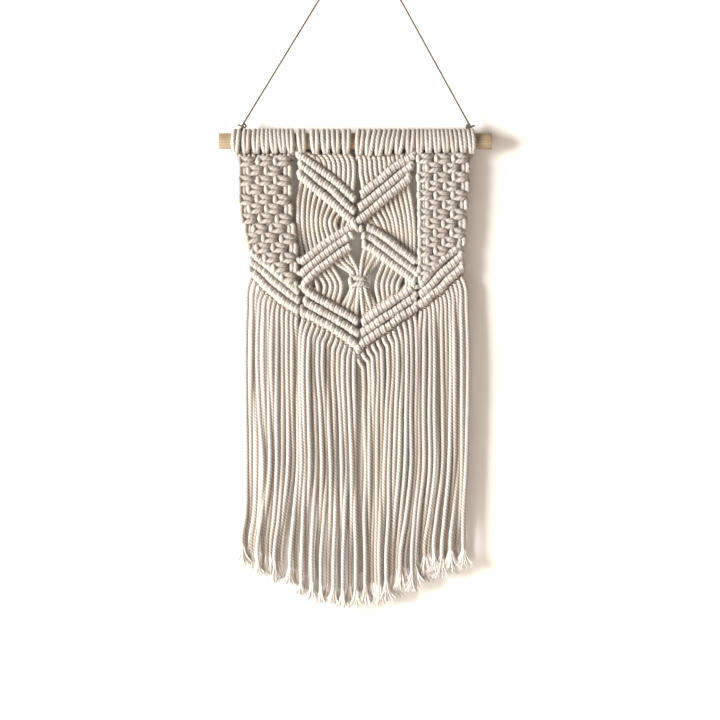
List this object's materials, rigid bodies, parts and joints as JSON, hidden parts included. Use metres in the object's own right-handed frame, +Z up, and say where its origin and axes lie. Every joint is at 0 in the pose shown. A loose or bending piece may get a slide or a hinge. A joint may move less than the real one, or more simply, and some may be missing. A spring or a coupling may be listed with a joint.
{
  "type": "macrame wall hanging on a wooden dowel",
  "caption": "Macrame wall hanging: knotted cotton cord on a wooden dowel, with square-knot side panels, diagonal corded bars, a V-shaped border, a long fringe and a hanging cord.",
  "frame": {"origin": "the underside of the hanging cord at its top, where it bears on its hook", "axes": "+Z up, +X to the right seen from the front, -Y towards the viewer and +Y towards the wall"},
  "size_m": [0.25, 0.0218, 0.6171],
  "materials": {
    "dowel_wood": "bare sanded pale wood",
    "cotton_cord": "matt twisted natural cotton",
    "hanging_twine": "matt thin twisted twine"
  },
  "bodies": {
    "root": {"dowel": "dowel_wood", "heading": "cotton_cord", "centre_panel": "cotton_cord", "side_panel_left": "cotton_cord", "side_panel_right": "cotton_cord", "border_fringe": "cotton_cord", "hanger_hitch_left": "hanging_twine", "hanger_hitch_right": "hanging_twine", "hanger_cord": "hanging_twine"}
  },
  "joints": []
}
